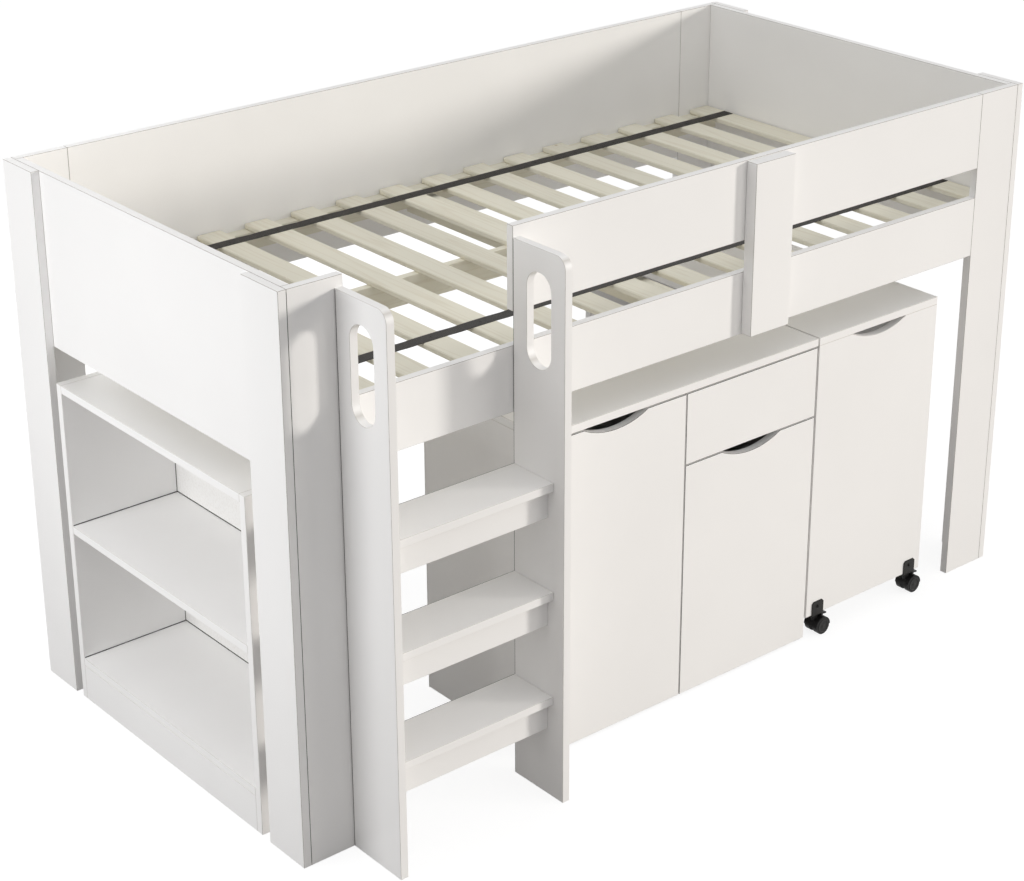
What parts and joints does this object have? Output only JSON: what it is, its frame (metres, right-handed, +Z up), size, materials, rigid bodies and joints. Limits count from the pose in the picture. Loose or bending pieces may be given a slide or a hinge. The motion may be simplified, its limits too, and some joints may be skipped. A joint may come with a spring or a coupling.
{
  "type": "mid-sleeper bed with desk",
  "caption": "Raised single bed with a short ladder and, underneath, an open bookcase, a cupboard with doors and a drawer, and a narrow desk that rolls out on castors.",
  "frame": {"origin": "on the floor, under the middle of the whole footprint with the ladder", "axes": "+Z up, X along the bed, the ladder and the unit fronts face -Y"},
  "size_m": [2.009, 1.13, 1.189],
  "materials": {
    "bed_board": "white matt melamine-faced board",
    "unit_board": "white matt melamine-faced board",
    "front_board": "white matt melamine-faced board",
    "hardboard": "white-faced hardboard",
    "pine": "planed untreated pine",
    "webbing": "woven charcoal tape",
    "zinc_steel": "zinc-plated",
    "runner_plastic": "white moulded plastic",
    "black_steel": "black, satin",
    "castor_plastic": "black moulded plastic",
    "wheel_plastic": "black moulded plastic"
  },
  "bodies": {
    "bed": {"front_left_end_board": "bed_board", "front_left_face_board": "bed_board", "front_right_end_board": "bed_board", "front_right_face_board": "bed_board", "back_left_end_board": "bed_board", "back_left_face_board": "bed_board", "back_right_end_board": "bed_board", "back_right_face_board": "bed_board", "left_end_panel": "bed_board", "right_end_panel": "bed_board", "back_panel": "bed_board", "side_rail": "bed_board", "guard_rail": "bed_board", "centre_post": "bed_board", "left_stringer": "bed_board", "right_stringer": "bed_board", "ladder_treads": "bed_board", "tread_aprons": "bed_board", "slats": "pine", "slat_ledges": "pine", "centre_beam": "pine", "cross_rail": "pine", "slat_straps": "webbing", "bookcase_sides": "unit_board", "bookcase_top": "unit_board", "bookcase_middle_shelf": "unit_board", "bookcase_bottom_shelf": "unit_board", "bookcase_plinth": "unit_board", "cupboard_sides": "unit_board", "cupboard_divider": "unit_board", "cupboard_top": "unit_board", "cupboard_bottom": "unit_board", "cupboard_shelf": "unit_board", "drawer_deck": "unit_board", "bookcase_back": "hardboard", "cupboard_back": "hardboard", "door_pivots": "zinc_steel", "drawer_runners": "runner_plastic"},
    "left_door": {"left_door": "front_board"},
    "right_door": {"right_door": "front_board"},
    "drawer": {"drawer_front": "front_board", "drawer_box": "unit_board", "drawer_base": "hardboard"},
    "desk": {"desk_top": "unit_board", "desk_front_panel": "unit_board", "desk_back_panel": "unit_board", "desk_stretcher": "unit_board", "castor_angles": "black_steel"},
    "front_left_castor": {"front_left_castor_housing": "castor_plastic"},
    "front_left_wheels": {"front_left_castor_wheels": "wheel_plastic"},
    "front_left_brake": {"front_left_castor_brake": "castor_plastic"},
    "front_right_castor": {"front_right_castor_housing": "castor_plastic"},
    "front_right_wheels": {"front_right_castor_wheels": "wheel_plastic"},
    "front_right_brake": {"front_right_castor_brake": "castor_plastic"},
    "back_left_castor": {"back_left_castor_housing": "castor_plastic"},
    "back_left_wheels": {"back_left_castor_wheels": "wheel_plastic"},
    "back_right_castor": {"back_right_castor_housing": "castor_plastic"},
    "back_right_wheels": {"back_right_castor_wheels": "wheel_plastic"}
  },
  "joints": [
    {"name": "left_door_hinge", "type": "hinge", "parent": "bed", "child": "left_door", "pos_m": [-0.3935, -0.4065, 0.36], "axis": [0, 0, -1], "range_deg": [0, 95]},
    {"name": "right_door_hinge", "type": "hinge", "parent": "bed", "child": "right_door", "pos_m": [0.3655, -0.4065, 0.28], "axis": [0, 0, 1], "range_deg": [0, 90]},
    {"name": "drawer_slide", "type": "slide", "parent": "bed", "child": "drawer", "axis": [0, -1, 0], "range_m": [0, 0.25]},
    {"name": "desk_slide", "type": "slide", "parent": "bed", "child": "desk", "axis": [0, -1, 0], "range_m": [0, 0.7]},
    {"name": "front_left_castor_swivel", "type": "hinge", "parent": "desk", "child": "front_left_castor", "pos_m": [0.416, -0.407, 0.04], "axis": [0, 0, 1], "continuous": true},
    {"name": "front_left_wheel_spin", "type": "hinge", "parent": "front_left_castor", "child": "front_left_wheels", "pos_m": [0.427, -0.407, 0.02], "axis": [0, 1, 0], "continuous": true},
    {"name": "front_left_brake_press", "type": "hinge", "parent": "front_left_castor", "child": "front_left_brake", "pos_m": [0.4338, -0.407, 0.0454], "axis": [0, 1, 0], "range_deg": [0, 18]},
    {"name": "front_right_castor_swivel", "type": "hinge", "parent": "desk", "child": "front_right_castor", "pos_m": [0.726, -0.407, 0.04], "axis": [0, 0, 1], "continuous": true},
    {"name": "front_right_wheel_spin", "type": "hinge", "parent": "front_right_castor", "child": "front_right_wheels", "pos_m": [0.737, -0.407, 0.02], "axis": [0, 1, 0], "continuous": true},
    {"name": "front_right_brake_press", "type": "hinge", "parent": "front_right_castor", "child": "front_right_brake", "pos_m": [0.74381, -0.407, 0.0454], "axis": [0, 1, 0], "range_deg": [0, 18]},
    {"name": "back_left_castor_swivel", "type": "hinge", "parent": "desk", "child": "back_left_castor", "pos_m": [0.416, 0.339, 0.04], "axis": [0, 0, 1], "continuous": true},
    {"name": "back_left_wheel_spin", "type": "hinge", "parent": "back_left_castor", "child": "back_left_wheels", "pos_m": [0.427, 0.339, 0.02], "axis": [0, 1, 0], "continuous": true},
    {"name": "back_right_castor_swivel", "type": "hinge", "parent": "desk", "child": "back_right_castor", "pos_m": [0.726, 0.339, 0.04], "axis": [0, 0, 1], "continuous": true},
    {"name": "back_right_wheel_spin", "type": "hinge", "parent": "back_right_castor", "child": "back_right_wheels", "pos_m": [0.737, 0.339, 0.02], "axis": [0, 1, 0], "continuous": true}
  ]
}
